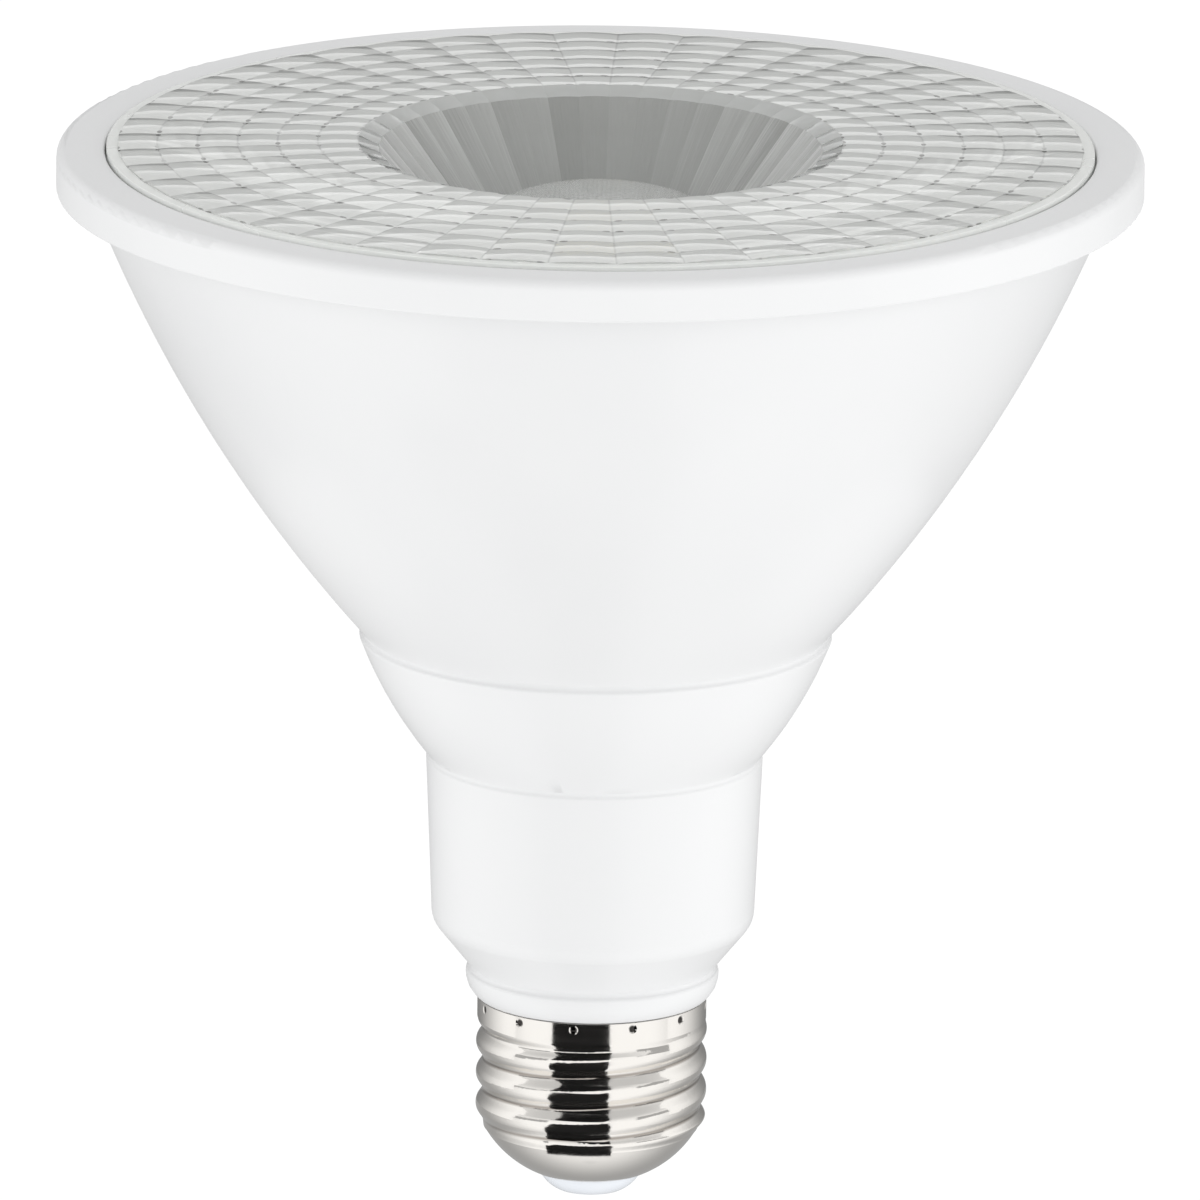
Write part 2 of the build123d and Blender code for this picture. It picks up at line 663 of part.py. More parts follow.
def base_insulator():
    """White plug in the end of the screw shell, with a rounded nose round the contact."""
    plug_top = (plug_radius(PLUG_TOP), PLUG_TOP)
    plug_foot = (plug_radius(SHELL_MOUTH_HEIGHT), SHELL_MOUTH_HEIGHT)
    nose_tip = (NOSE_TIP_R, NOSE_TIP_HEIGHT)
    recess_r = CONTACT_R + SLIDE_GAP
    shank_r = CONTACT_SHANK_R + SCREW_GAP
    return turned(
        bulge(plug_top, plug_foot, SHELL_CURVE_R - SLIDE_GAP),
        bulge(plug_foot, nose_tip, NOSE_CURVE_R),
        Polyline(
            nose_tip,
            (recess_r, NOSE_TIP_HEIGHT),
            (recess_r, CONTACT_HEAD),
            (shank_r, CONTACT_HEAD),
            (shank_r, PLUG_TOP),
            plug_top,
        ),
    )


def centre_contact():
    """Contact rivet, its flat head at the origin."""
    rivet = drum(CONTACT_R, 0, CONTACT_HEAD) + drum(CONTACT_SHANK_R, CONTACT_HEAD, CONTACT_TOP)
    tip = rivet.edges().filter_by(GeomType.CIRCLE).sort_by(Axis.Z)[0]
    return chamfer(tip, CONTACT_EDGE)


def sink_radius(height, wall):
    """Outside of the heat sink inside the bowl, or its inside when the wall is taken off."""
    inward = HOUSING_WALL + SEAT_GAP + wall
    return arc_radius(BOWL_TOP_POINT, BOWL_FOOT_POINT, BOWL_CURVE_R, height, inward)


def lead_slot():
    """Slot in the heat sink's plate that the two LED leads come up through."""
    middle = sum(LED_LEAD_X) / 2
    length = LED_LEAD_X[1] - LED_LEAD_X[0] + SLOT_WIDTH
    slot = Plane.XY.offset(PLATE_FOOT) * Pos(middle, LED_LEAD_OUT) * SlotOverall(length, SLOT_WIDTH)
    return extrude(slot, PLATE_WALL)


def heat_sink():
    """Pressed aluminium cup: a plate for the light source and a wall along the bowl."""
    rim = LENS_SEAT - SINK_RIM_DROP
    inward = HOUSING_WALL + SEAT_GAP
    outer_top = (sink_radius(rim, 0), rim)
    outer_foot = (sink_radius(PLATE_FOOT, 0), PLATE_FOOT)
    inner_top = (sink_radius(rim, SINK_WALL), rim)
    inner_foot = (sink_radius(PLATE_TOP, SINK_WALL), PLATE_TOP)
    cup = turned(
        bulge(outer_top, outer_foot, BOWL_CURVE_R - inward),
        Polyline(outer_foot, (0, PLATE_FOOT), (0, PLATE_TOP), inner_foot),
        bulge(inner_top, inner_foot, BOWL_CURVE_R - inward - SINK_WALL),
        Line(inner_top, outer_top),
    )
    for x, y in plate_boss_places() + holder_screw_places():
        cup -= drum(SCREW_R + SCREW_GAP, PLATE_FOOT, PLATE_TOP, x, y)
    return cup - lead_slot()


def screw(length, seat, x, y):
    """Cross-recessed pan-head screw with its head on the seat."""
    top = seat + SCREW_HEAD_HEIGHT
    body = drum(SCREW_HEAD_R, seat, top, x, y) + drum(SCREW_R, seat - length, seat, x, y)
    rim = body.edges().filter_by(GeomType.CIRCLE).sort_by(Axis.Z)[-1]
    body = fillet(rim, SCREW_HEAD_HEIGHT / 2)
    recess = Box(RECESS_LENGTH, RECESS_WIDTH, 2 * RECESS_DEPTH)
    recess += Box(RECESS_WIDTH, RECESS_LENGTH, 2 * RECESS_DEPTH)
    return body - Pos(x, y, top) * recess


def plate_screws():
    """Screws that hold the heat sink to the housing's bosses."""
    return Compound([screw(SCREW_LENGTH, PLATE_TOP, x, y).solid() for x, y in plate_boss_places()])


def holder_screw_places():
    """Plan positions of the light source holder's screws."""
    return [(-HOLDER_SCREW_R, 0), (HOLDER_SCREW_R, 0)]


def holder_screws():
    """Screws that hold the light source's holder to the plate."""
    seat = PLATE_TOP + HOLDER_HEIGHT
    return Compound([screw(HOLDER_SCREW_LENGTH, seat, x, y).solid() for x, y in holder_screw_places()])


def led_carrier():
    """Square carrier of the light source, flat on the plate."""
    half = CARRIER_SIDE / 2
    return block((-half, -half, PLATE_TOP), (half, half, PLATE_TOP + CARRIER_HEIGHT))


def led_emitter():
    """Round yellow emitting field on the carrier."""
    foot = PLATE_TOP + CARRIER_HEIGHT
    return drum(EMITTER_R, foot, foot + EMITTER_HEIGHT)


def led_holder():
    """Clamp over the carrier, with a splayed window and two screw ears."""
    top = PLATE_TOP + HOLDER_HEIGHT
    ceiling = PLATE_TOP + CARRIER_HEIGHT
    body = drum(HOLDER_R, PLATE_TOP, top)
    body += block((-HOLDER_SCREW_R, -HOLDER_EAR_R, PLATE_TOP), (HOLDER_SCREW_R, HOLDER_EAR_R, top))
    for x, y in holder_screw_places():
        body += drum(HOLDER_EAR_R, PLATE_TOP, top, x, y)
    for x, y in holder_screw_places():
        body -= drum(SCREW_R + SCREW_GAP, PLATE_TOP, top, x, y)
    half = CARRIER_SIDE / 2 + SLIDE_GAP
    body -= block((-half, -half, PLATE_TOP), (half, half, ceiling))
    body -= turned_outline(
        (0, ceiling),
        (HOLDER_WINDOW_R, ceiling),
        (HOLDER_WINDOW_R + HOLDER_WINDOW_SPLAY, top),
        (0, top),
    )
    channel = LEAD_R + SLIDE_GAP
    for x in LED_LEAD_X:
        body -= block((x - channel, 0, PLATE_TOP), (x + channel, HOLDER_R, PLATE_TOP + 2 * channel))
    return body


def driver_board():
    """Upright circuit board: wide between the rails, with a tongue down into the base."""
    half = BOARD_WIDTH / 2
    tongue = TONGUE_WIDTH / 2
    wide = block((-half, -BOARD_FACE, BOARD_FOOT), (half, BOARD_FACE, BOARD_TOP))
    return wide + block((-tongue, -BOARD_FACE, TONGUE_FOOT), (tongue, BOARD_FACE, BOARD_FOOT))


def on_board(piece, x, z, side):
    """Stand an upright piece on one face of the driver board."""
    return Pos(x, side * BOARD_FACE, z) * Rot(-90 * side, 0, 0) * piece


def transformer_winding():
    """Taped winding on its bobbin, with a hole for the core's middle leg."""
    window = (CORE_WIDTH - 3 * CORE_LEG) / 2
    half_x = CORE_LEG / 2 + window - SLIDE_GAP
    half_z = CORE_HEIGHT / 2 - CORE_LEG / 2 - SLIDE_GAP
    hole_x = CORE_LEG / 2 + SLIDE_GAP
    hole_y = CORE_DEPTH / 2 + SLIDE_GAP
    middle = BOARD_FACE + BOBBIN_DEPTH / 2
    low = TRANSFORMER_Z - half_z
    high = TRANSFORMER_Z + half_z
    body = block((-half_x, BOARD_FACE, low), (half_x, BOARD_FACE + BOBBIN_DEPTH, high))
    body = fillet(body.edges().filter_by(Axis.Z), BOBBIN_CORNER_R)
    return body - block((-hole_x, middle - hole_y, low), (hole_x, middle + hole_y, high))


def transformer_core():
    """Ferrite core: an outer frame with a middle leg through the winding."""
    half_x = CORE_WIDTH / 2
    half_z = CORE_HEIGHT / 2
    yoke = CORE_LEG / 2
    middle = BOARD_FACE + BOBBIN_DEPTH / 2
    near = middle - CORE_DEPTH / 2
    far = middle + CORE_DEPTH / 2
    body = block((-half_x, near, TRANSFORMER_Z - half_z), (half_x, far, TRANSFORMER_Z + half_z))
    window = (CORE_WIDTH - 3 * CORE_LEG) / 2
    for side in (-1, 1):
        ends = sorted((side * CORE_LEG / 2, side * (CORE_LEG / 2 + window)))
        low = (ends[0], near, TRANSFORMER_Z - half_z + yoke)
        high = (ends[1], far, TRANSFORMER_Z + half_z - yoke)
        body -= block(low, high)
    return body


def can_capacitor(radius, length):
    """Round capacitor can, upright, with its crimped groove and rounded top."""
    can = drum(radius, 0, length)
    can = fillet(can.edges().filter_by(GeomType.CIRCLE).sort_by(Axis.Z)[-1], CAN_FILLET)
    return can - Pos(0, 0, CAN_GROOVE_HEIGHT) * Torus(radius, CAN_GROOVE_R)


def input_capacitor():
    """Main smoothing capacitor."""
    return on_board(can_capacitor(INPUT_CAP_R, INPUT_CAP_LENGTH), 0, INPUT_CAP_Z, 1)


def output_capacitor():
    """Smoothing capacitor beside the LED leads."""
    return on_board(can_capacitor(OUTPUT_CAP_R, OUTPUT_CAP_LENGTH), OUTPUT_CAP_X, OUTPUT_CAP_Z, 1)


def moulded_block(width, height, depth, radius):
    """Moulded component body, upright, with rounded upright edges."""
    body = Pos(0, 0, depth / 2) * Box(width, height, depth)
    return fillet(body.edges().filter_by(Axis.Z), radius)


def film_capacitor():
    """Boxed film capacitor across the mains."""
    return on_board(moulded_block(FILM_WIDTH, FILM_HEIGHT, FILM_DEPTH, MOULD_CORNER_R), 0, FILM_Z, -1)


def input_choke():
    """Drum-core choke with its winding between two cheeks."""
    drum_core = drum(CHOKE_R, 0, CHOKE_CHEEK) + drum(CHOKE_R, CHOKE_LENGTH - CHOKE_CHEEK, CHOKE_LENGTH)
    drum_core += drum(CHOKE_WINDING_R, CHOKE_CHEEK, CHOKE_LENGTH - CHOKE_CHEEK)
    return on_board(drum_core, 0, CHOKE_Z, -1)


def bridge_rectifier():
    """Flat rectifier block on the tongue."""
    bridge = moulded_block(BRIDGE_WIDTH, BRIDGE_HEIGHT, BRIDGE_DEPTH, MOULD_CORNER_R)
    return on_board(bridge, 0, BRIDGE_Z, -1)


def driver_chip():
    """Control chip."""
    return on_board(moulded_block(CHIP_WIDTH, CHIP_HEIGHT, CHIP_DEPTH, MOULD_CORNER_R), CHIP_X, CHIP_Z, -1)


def fuse_resistor():
    """Fusible resistor in the line, with thicker ends, along the tongue."""
    low = FUSE_Z - FUSE_LENGTH / 2
    high = FUSE_Z + FUSE_LENGTH / 2
    y = BOARD_FACE + FUSE_R
    body = drum(FUSE_NECK_R, low, high, 0, y)
    body += drum(FUSE_R, low, low + FUSE_END, 0, y)
    return body + drum(FUSE_R, high - FUSE_END, high, 0, y)


def lead(*points):
    """Round insulated lead along straight runs with rounded corners."""
    route = FilletPolyline(*points, radius=LEAD_BEND_R)
    return sweep(Plane(route @ 0, z_dir=route % 0) * Circle(LEAD_R), route)


def led_lead(x):
    """Lead from the board, out and up through the plate's slot, and in to the carrier's edge."""
    face = BOARD_FACE + LEAD_R
    over_plate = PLATE_TOP + LEAD_R + SLIDE_GAP
    end = CARRIER_SIDE / 2 + SLIDE_GAP
    return lead(
        (x, face, LED_LEAD_FOOT),
        (x, face, LED_LEAD_TURN),
        (x, LED_LEAD_OUT, LED_LEAD_TURN),
        (x, LED_LEAD_OUT, over_plate),
        (x, end, over_plate),
    )


def led_lead_positive():
    """Lead to the light source's positive pad."""
    return led_lead(LED_LEAD_X[0])


def led_lead_negative():
    """Lead to the light source's negative pad."""
    return led_lead(LED_LEAD_X[1])


def neutral_lead():
    """Lead from the board round the spigot's end to the screw shell."""
    face = BOARD_FACE + LEAD_R
    return lead(
        (NEUTRAL_LEAD_X, face, NEUTRAL_LEAD_TOP),
        (NEUTRAL_LEAD_X, face, NEUTRAL_LEAD_TURN),
        (NEUTRAL_LEAD_END, face, NEUTRAL_LEAD_TURN),
    )


def line_lead():
    """Lead from the fusible resistor to the contact rivet."""
    y = BOARD_FACE + FUSE_R
    upper, lower = LINE_LEAD_BENDS
    return lead((0, y, FUSE_Z - FUSE_LENGTH / 2), (0, y, upper), (0, 0, lower), (0, 0, CONTACT_TOP))


PARTS = (
    housing,
    trim_ring,
    lens,
    heat_sink,
    plate_screws,
    led_carrier,
    led_emitter,
    led_holder,
    holder_screws,
    driver_board,
    transformer_core,
    transformer_winding,
    input_capacitor,
    output_capacitor,
    film_capacitor,
    input_choke,
    bridge_rectifier,
    driver_chip,
    fuse_resistor,
    led_lead_positive,
    led_lead_negative,
    line_lead,
    neutral_lead,
    screw_shell,
    base_insulator,
    centre_contact,
)


def main():
    """Write each piece to its own file, named after its function."""
    os.makedirs("parts", exist_ok=True)
    for make in PARTS:
        export_step(make(), f"parts/{make.__name__}.step")


main()
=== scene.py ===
import math

import bmesh
import bpy
from mathutils import Matrix, Vector


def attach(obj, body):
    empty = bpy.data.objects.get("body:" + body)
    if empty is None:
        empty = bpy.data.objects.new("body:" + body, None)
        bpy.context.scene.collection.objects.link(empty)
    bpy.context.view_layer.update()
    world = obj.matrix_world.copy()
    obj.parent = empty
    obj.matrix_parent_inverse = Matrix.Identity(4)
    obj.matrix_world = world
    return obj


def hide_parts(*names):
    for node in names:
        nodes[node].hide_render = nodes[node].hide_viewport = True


# A reflector-shaped LED spot lamp standing on its base, on a white studio floor.
# Sizes are in millimetres and are turned into metres by MM where a mesh or a light is made.
# Scales of noise are in features a metre, and tints are linear colours.
MM = 0.001
WELD = 1e-7  # metres
WHITE = (1, 1, 1, 1)
NOISE_SPAN = (0.3, 0.7)  # where most of a noise lies

# Optic: the same sizes as the solid that it stands for
SECTORS = 45
RINGS = 6
STEPS = 8
AROUND = SECTORS * STEPS
LENS_TOP = 121.5
LENS_R = 55.4
LENS_EDGE_R = 0.15
EDGE_STEPS = 4
GRID_R = 54.2
GRID_INNER_R = 27.2
GRID_RISE = 0.59  # a hair under the solid's, so that the mesh stays inside its box
PILLOW_WIDTH = (GRID_R - GRID_INNER_R) / RINGS
PILLOW_CURVE_R = 33.0
MOUTH_R = 25.0
MOUTH_Z = 121.22
FLUTE_SLOPE = 0.2
WELL_FLOOR_R = 13.5
WELL_FLOOR_Z = 108.0
DOME_FOOT_R = 12.0
DOME_R = 11.0
DOME_EDGE_Z = 114.9
DOME_TOP_Z = 116.9
FLANGE_R = 57.6
FLANGE_TOP_Z = 119.6
FLANGE_FOOT_Z = 117.6
BACK_TOP_R = 51.0
BACK_FOOT_R = 13.5
BACK_FOOT_Z = 87.6
BACK_CURVE_R = 140.0
CAVITY_FOOT_R = 11.0
CAVITY_TOP_R = 10.0
CAVITY_TOP_Z = 97.5
CAVITY_LOW_Z = 94.5
WALL_LOOPS = 16
BAND_LOOPS = 4
DOME_LOOPS = 14
BACK_LOOPS = 60
CREASE_ANGLE = math.radians(4)
# Kinds of face on the optic, in the order of its finishes
CLEAR, BAND, PILLOWS, BORDER, DOME, WELL, CAVITY = range(7)

# Looks of the optic: clear plastic that is hazy where its clarity is below 1
PLASTIC_IOR = 1.49
PLASTIC_MOTTLE = 60.0
MOTTLE_SHADE = 0.995
LENS_TINT = (0.985, 0.992, 0.982)
HAZE_TINT = (0.95, 0.965, 0.94)
POLISH = (0.0, 0.01)
BAND_CLARITY = 0.65
BORDER_CLARITY = 0.2
BORDER_ROUGH = (0.2, 0.3)
CAVITY_ROUGH = (0.6, 0.8)
DOME_TINT = (0.8, 0.815, 0.79)
DOME_CLARITY = 0.55
DOME_ROUGH = (0.02, 0.05)
DIMPLE_SCALE = 1900.0
DIMPLE_SCATTER = 0.25
DIMPLE_DEPTH = 0.2
PILLOW_CLARITY = 0.4
RIPPLE_SCALE = 250.0
RIPPLE_DEPTH = 0.03
# Pillows: painted dark glints of refraction beside the corners, and painted shade along the creases, in one
# dark tint
GLINT_SIZE = (0.36, 0.62)  # half sizes across and along a ring of pillows
GLINT_SHIFT = 0.75  # along the ring, from the corner
GLINT_EDGE = (1.0, 0.6)
GLINT_AND_CREASE_SHADE_TINT = (0.3, 0.305, 0.29)
GLINT_SCALE = 330.0
GLINT_SPAN = (0.4, 0.65)
GLINT_LEVELS = (0.1, 1.0)
CREASE_SHADE_WIDTH = 0.2
CREASE_SHADE_LEVEL = 0.3
# The well's grey is painted shade for the dim inside seen through its clear wall; its flutes get painted
# highlight streaks
WELL_SHADE_TINT = (0.57, 0.58, 0.555)
FLUTE_HIGHLIGHT_TINT = (0.74, 0.75, 0.725)
WALL_CLARITY = 0.6
WELL_STREAKS = 45.0  # features a radian
STREAK_CLIMB = 0.15  # features a millimetre
STREAK_DEPTH = 0.1
WELL_SHEEN = 1.0
WELL_SHEEN_ROUGH = 0.5

# Screw shell: the thread and the stakes where the solid has them, and the looks of its nickel, with painted
# shade in the thread's roots and in the stakes' pits
THREAD_PITCH = 3.629
THREAD_FOOT = 9.0
THREAD_TOP = 19.0
THREAD_FADE = 0.7
THREAD_START_ANGLE = math.radians(66.7)
ROOT_SPAN = (0.4, 0.49)  # pitches from a crest
# Colour of the painted shade in the thread's roots
ROOT_SHADE_TINT = (0.36, 0.33, 0.3)
SHELL_BAND_R = 12.95
STAKES = 12
STAKE_FIRST_ANGLE = math.radians(-99)
STAKE_Z = 22.2
STAKE_PIT_R = 0.5
STAKE_PIT_CORE_R = 0.3
# Colour of the painted shade in the stakes' pits
STAKE_SHADE_TINT = (0.05, 0.047, 0.045)
NICKEL_TINTS = ((0.80, 0.775, 0.735), (0.84, 0.815, 0.78))
NICKEL_MOTTLE = 120.0
NICKEL_ROUGH = (0.07, 0.13)
ROLL_SCALE = 500.0
ROLL_STRETCH = (0.15, 0.15, 3.0)
ROLL_DEPTH = 0.004

# Aluminium of the heat sink and of the light source's carrier
ALUMINIUM_TINTS = ((0.72, 0.73, 0.74), (0.80, 0.81, 0.82))
SINK_ROUGH = (0.5, 0.6)
CARRIER_ROUGH = (0.25, 0.35)
BRUSH_SCALE = 420.0
BRUSH_WANDER = 2.0
BRUSH_DEPTH = 0.01

# Plain finishes: two close tints, span of roughness, scale of mottle, scale of grain, depth of grain
FINISHES = {
    "white_body": ((0.74, 0.745, 0.75), (0.77, 0.773, 0.775), (0.30, 0.40), 45.0, 2600.0, 0.006),
    "white_trim": ((0.755, 0.76, 0.765), (0.785, 0.788, 0.79), (0.36, 0.46), 60.0, 1700.0, 0.02),
    "insulator_white": ((0.72, 0.75, 0.80), (0.78, 0.81, 0.85), (0.15, 0.25), 300.0, 3000.0, 0.01),
    "contact_nickel": ((0.68, 0.66, 0.62), (0.76, 0.74, 0.70), (0.2, 0.35), 200.0, 3000.0, 0.006),
    "screw_steel": ((0.55, 0.54, 0.52), (0.66, 0.65, 0.63), (0.2, 0.35), 200.0, 3000.0, 0.006),
    "emitter_yellow": ((0.83, 0.62, 0.06), (0.90, 0.70, 0.10), (0.4, 0.55), 900.0, 6000.0, 0.02),
    "holder_white": ((0.82, 0.82, 0.81), (0.88, 0.88, 0.87), (0.4, 0.55), 150.0, 4000.0, 0.01),
    "board_green": ((0.02, 0.13, 0.06), (0.035, 0.18, 0.09), (0.25, 0.4), 250.0, 2500.0, 0.02),
    "ferrite_grey": ((0.05, 0.05, 0.055), (0.09, 0.09, 0.095), (0.5, 0.7), 700.0, 5000.0, 0.02),
    "tape_yellow": ((0.78, 0.55, 0.05), (0.85, 0.63, 0.09), (0.2, 0.35), 200.0, 1500.0, 0.02),
    "sleeve_black": ((0.018, 0.018, 0.02), (0.03, 0.03, 0.033), (0.3, 0.45), 300.0, 4000.0, 0.01),
    "film_box": ((0.62, 0.10, 0.04), (0.70, 0.14, 0.06), (0.3, 0.45), 250.0, 3000.0, 0.01),
    "chip_black": ((0.02, 0.02, 0.022), (0.035, 0.035, 0.036), (0.45, 0.6), 400.0, 6000.0, 0.02),
    "resistor_body": ((0.42, 0.46, 0.50), (0.52, 0.55, 0.58), (0.35, 0.5), 500.0, 4000.0, 0.01),
    "lead_red": ((0.55, 0.03, 0.03), (0.65, 0.05, 0.045), (0.35, 0.5), 300.0, 4000.0, 0.01),
    "lead_black": ((0.02, 0.02, 0.022), (0.04, 0.04, 0.042), (0.35, 0.5), 300.0, 4000.0, 0.01),
    "lead_white": ((0.75, 0.75, 0.73), (0.82, 0.82, 0.80), (0.35, 0.5), 300.0, 4000.0, 0.01),
}
# Shader values of those finishes that aren't the usual ones
FINISH_VALUES = {
    "white_body": {"Specular IOR Level": 0.3},
    "white_trim": {"Specular IOR Level": 0.15},
    "contact_nickel": {"Metallic": 1.0},
    "screw_steel": {"Metallic": 1.0},
}
# Nodes that have each plain finish
FINISH_NODES = {
    "white_body": ["housing"],
    "white_trim": ["trim_ring"],
    "insulator_white": ["base_insulator"],
    "contact_nickel": ["centre_contact"],
    "screw_steel": ["plate_screws", "holder_screws"],
    "emitter_yellow": ["led_emitter"],
    "holder_white": ["led_holder"],
    "board_green": ["driver_board"],
    "ferrite_grey": ["transformer_core", "input_choke"],
    "tape_yellow": ["transformer_winding"],
    "sleeve_black": ["input_capacitor", "output_capacitor"],
    "film_box": ["film_capacitor"],
    "chip_black": ["bridge_rectifier", "driver_chip"],
    "resistor_body": ["fuse_resistor"],
    "lead_red": ["led_lead_positive"],
    "lead_black": ["led_lead_negative", "line_lead"],
    "lead_white": ["neutral_lead"],
}

# Camera: a long lens, at the photograph's viewing angle
CAMERA_DISTANCE = 2700.0
CAMERA_ELEVATION = math.radians(14.85)
CAMERA_ROLL = math.radians(0.6)
CAMERA_TARGET = (0.45, 0.0, 68.97)
CAMERA_REACH = 100.0  # metres
FRAME_WIDTH = 135.14
SENSOR_WIDTH = 36.0
LIGHT_BOUNCES = 24
GLOSSY_BOUNCES = 8

# Studio: a glowing floor that only the camera sees, inside a wide tent of soft light
FLOOR_R = 6000.0
FLOOR_STEPS = 96
FLOOR_GREYS = (0.05, 0.06)
FLOOR_GLOW = 1.0
FLOOR_VALUES = {"Roughness": 1.0, "Specular IOR Level": 0.0}
WIDE_MOTTLE = 3.0
# Tent behind the lamp, in layers: lowest elevation in degrees, softness of that edge, level
TENT_LAYERS = (
    (-90.0, 0.004, 0.4),
    (0.0, 0.004, 0.03),
    (6.0, 0.004, 0.43),
    (15.2, 0.004, 1.28),
    (18.5, 0.02, 1.0),
    (41.0, 0.1, 0.95),
)
# Tent in front: levels low and high, the z of a unit ray at both, and its y from all behind to all in front
FRONT_LEVELS = (1.16, 0.66)
FRONT_RISE = (0.05, 0.7)
FRONT_SPAN = (0.7, -0.5)
SOFTBOX_SIZE = (900, 1300)
SOFTBOX_TARGET = (0, 0, 70)
# Softboxes: place and power in watts
SOFTBOXES = {
    "left_softbox": ((-1500, -500, 200), 6.5),
    "right_softbox": ((1500, -500, 200), 8.5),
}
# Cards that show only as reflections: angles about the axis are in degrees, from +X
CARD_R = 60.0
CARD_FOOT = 0.5
CARD_STEPS = 48
CARD_MOTTLE = 30.0
CARD_GREYS = (0.01, 0.012)
FLAG_GREYS = (0.008, 0.012)
FLAG_VALUES = {"Roughness": 0.9, "Specular IOR Level": 0.0}
FLAG_ANGLES = (-127.0, -73.0)
FLAG_REACH = (13.0, 240.0)
FLAG_SPAN = (27.0, 82.0)
BOUNCE_ANGLES = (-15.0, 195.0)
BOUNCE_SPAN = (CARD_FOOT, 60.0)
BOUNCE_FADE = (-10.0, 55.0)
BOUNCE_GLOW = (1.1, 0.2)
BELT_R = 2000.0
BELT_ANGLES = {"right_belt": (-45.0, 45.0), "left_belt": (135.0, 225.0)}
BELT_ELEVATIONS = (0.0, 15.2)
BELT_GLOW = 0.43

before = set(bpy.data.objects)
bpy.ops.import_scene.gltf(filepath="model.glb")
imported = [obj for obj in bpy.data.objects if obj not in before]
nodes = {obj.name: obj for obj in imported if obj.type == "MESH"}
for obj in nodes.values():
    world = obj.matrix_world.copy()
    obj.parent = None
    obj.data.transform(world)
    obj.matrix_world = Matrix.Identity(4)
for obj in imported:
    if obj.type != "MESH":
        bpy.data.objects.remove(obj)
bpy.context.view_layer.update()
scene = bpy.context.scene


# Mesh building

def polar(radius, angle, height):
    return Vector((radius * math.cos(angle), radius * math.sin(angle), height))


def add_object(name, data):
    """New object in the scene."""
    thing = bpy.data.objects.new(name, data)
    scene.collection.objects.link(thing)
    return thing


def loft(name, loops):
    """Mesh through a stack of closed loops, with a fan at each end where the loop is one point."""
    mesh = bpy.data.meshes.new(name)
    bm = bmesh.new()
    rings = [[bm.verts.new(p * MM) for p in loop] for loop in loops]
    for low, high in zip(rings, rings[1:]):
        count = max(len(low), len(high))
        for i in range(count):
            j = (i + 1) % count
            corners = [low[i % len(low)], low[j % len(low)], high[j % len(high)], high[i % len(high)]]
            bm.faces.new(list(dict.fromkeys(corners)))
    bmesh.ops.remove_doubles(bm, verts=bm.verts, dist=WELD)
    bmesh.ops.recalc_face_normals(bm, faces=bm.faces)
    for face in bm.faces:
        face.smooth = True
    for edge in bm.edges:
        edge.smooth = len(edge.link_faces) == 2 and edge.calc_face_angle(0.0) < CREASE_ANGLE
    bm.to_mesh(mesh)
    bm.free()
    return add_object(name, mesh)


def ring(radius, height):
    """Round loop about the lamp's axis."""
    return [polar(radius, 2 * math.pi * i / AROUND, height) for i in range(AROUND)]


def arc(start, end, radius, steps):
    """Points in r and z of the arc from start down to end that bulges away from the axis."""
    middle = ((start[0] + end[0]) / 2, (start[1] + end[1]) / 2)
    run = math.hypot(start[0] - end[0], start[1] - end[1])
    back = math.sqrt(radius**2 - (run / 2) ** 2)
    centre = (middle[0] - back * (start[1] - end[1]) / run, middle[1] - back * (end[0] - start[0]) / run)
    first = math.atan2(start[1] - centre[1], start[0] - centre[0])
    last = math.atan2(end[1] - centre[1], end[0] - centre[0])
    turns = [first + (last - first) * i / steps for i in range(steps + 1)]
    return [(centre[0] + radius * math.cos(t), centre[1] + radius * math.sin(t)) for t in turns]


def cap_height(radius, edge_r, edge_z, apex_z):
    """Height of a spherical cap at a distance from the axis."""
    rise = apex_z - edge_z
    sphere = (edge_r**2 + rise**2) / (2 * rise)
    return apex_z - sphere + math.copysign(math.sqrt(sphere**2 - radius**2), sphere)


# Optic

def upward(angle):
    """Direction in which a pillow rises, at any angle about the axis."""
    return Vector((0, 0, 1))


def wall_normal(angle):
    """Direction out of the well's wall."""
    lean = math.atan2(MOUTH_Z - WELL_FLOOR_Z, MOUTH_R - WELL_FLOOR_R)
    return polar(-math.sin(lean), angle, math.cos(lean))


def chord_loop(radius, height, lift, direction=upward):
    """Loop on the chords between sector corners, each chord raised into a parabola."""
    points = []
    for sector in range(SECTORS):
        start = polar(radius, 2 * math.pi * sector / SECTORS, height)
        end = polar(radius, 2 * math.pi * (sector + 1) / SECTORS, height)
        up = direction(2 * math.pi * (sector + 0.5) / SECTORS)
        for step in range(STEPS):
            v = step / STEPS
            points.append(start.lerp(end, v) + up * (2 * v * (1 - v) * lift))
    return points


def blend_loops(first, last, steps):
    """Loops from the first to just before the last, in straight lines."""
    return [[a.lerp(b, k / steps) for a, b in zip(first, last)] for k in range(steps)]


def dome_loops():
    """Loops of the dome on the well's floor, from its top to its foot."""
    loops = [[Vector((0, 0, DOME_TOP_Z))]]
    for k in range(1, DOME_LOOPS + 1):
        radius = DOME_R * k / DOME_LOOPS
        loops.append(ring(radius, cap_height(radius, DOME_R, DOME_EDGE_Z, DOME_TOP_Z)))
    loops.append(ring(DOME_FOOT_R, WELL_FLOOR_Z))
    return loops


def well_loops(brim):
    """Loops of the fluted wall and of the band over it, to just before the brim."""
    floor = chord_loop(WELL_FLOOR_R, WELL_FLOOR_Z, 0.0)
    flute_lift = FLUTE_SLOPE * MOUTH_R * math.sin(math.pi / SECTORS)
    lip = chord_loop(MOUTH_R, MOUTH_Z, flute_lift, wall_normal)
    return blend_loops(floor, lip, WALL_LOOPS) + blend_loops(lip, brim, BAND_LOOPS)


def pillow_lift(length):
    """Rise of a pillow's edge of that length, to the pillow's curve."""
    return length**2 / (4 * PILLOW_CURVE_R)


